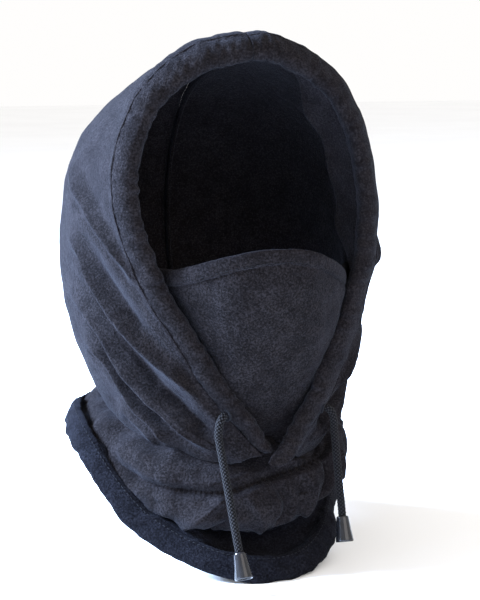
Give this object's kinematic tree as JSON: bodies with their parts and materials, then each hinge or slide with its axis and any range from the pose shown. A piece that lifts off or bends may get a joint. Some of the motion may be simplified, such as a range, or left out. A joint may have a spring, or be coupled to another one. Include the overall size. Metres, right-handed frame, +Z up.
{
  "type": "balaclava",
  "caption": "Hooded fleece balaclava with a pull-down face mask, a drawcord round the face opening ending in bell-shaped tips, and a shoulder bib.",
  "frame": {"origin": "centre of the wearer's head, midway between the ears", "axes": "+Z up, -Y the way the face looks, -X towards the wearer's right"},
  "size_m": [0.215, 0.2518, 0.3512],
  "materials": {
    "fleece": "matte brushed fleece, dark charcoal with a blue cast",
    "thread": "polyester sewing thread, matte",
    "elastic": "woven elastic tape",
    "braid": "round braided polyester cord",
    "black_plastic": "moulded black plastic, glossy"
  },
  "bodies": {
    "hood": {"hood_panel_right": "fleece", "hood_panel_left": "fleece", "centre_seam": "thread", "face_tunnel_right": "fleece", "face_tunnel_left": "fleece", "drawcord_run": "braid", "eyelet_right": "thread", "eyelet_left": "thread", "mask_panel": "fleece", "neck_panel_right": "fleece", "neck_panel_left": "fleece", "bib_hem": "fleece"},
    "mask": {"mask_hem": "fleece", "mask_elastic": "elastic"},
    "cord_right": {"drawcord_right": "braid"},
    "cord_left": {"drawcord_left": "braid"},
    "cord_end_right": {"cord_bell_right": "black_plastic", "cord_knot_right": "braid"},
    "cord_end_left": {"cord_bell_left": "black_plastic", "cord_knot_left": "braid"}
  },
  "joints": [
    {"name": "mask_pull_down", "type": "hinge", "parent": "hood", "child": "mask", "pos_m": [0, -0.026, 0.02], "axis": [1, 0, 0], "range_deg": [0, 50], "deforming": ["mask_panel"]},
    {"name": "cord_swing_right", "type": "hinge", "parent": "hood", "child": "cord_right", "pos_m": [-0.0283, -0.08992, -0.10747], "axis": [-1, 0, 0], "range_deg": [0, 75]},
    {"name": "cord_swing_left", "type": "hinge", "parent": "hood", "child": "cord_left", "pos_m": [0.04171, -0.08986, -0.10775], "axis": [-1, 0, 0], "range_deg": [0, 75]},
    {"name": "cord_feed_right", "type": "slide", "parent": "cord_right", "child": "cord_end_right", "axis": [0.0076, -0.459, -0.8884], "range_m": [-0.03, 0.03], "deforming": ["drawcord_right"]},
    {"name": "cord_feed_left", "type": "slide", "parent": "cord_left", "child": "cord_end_left", "axis": [-0.0413, -0.3272, -0.9441], "range_m": [-0.03, 0.03], "deforming": ["drawcord_left"]}
  ],
  "couplings": [
    {"joint": "cord_feed_left", "follows": "cord_feed_right", "ratio": -1}
  ]
}
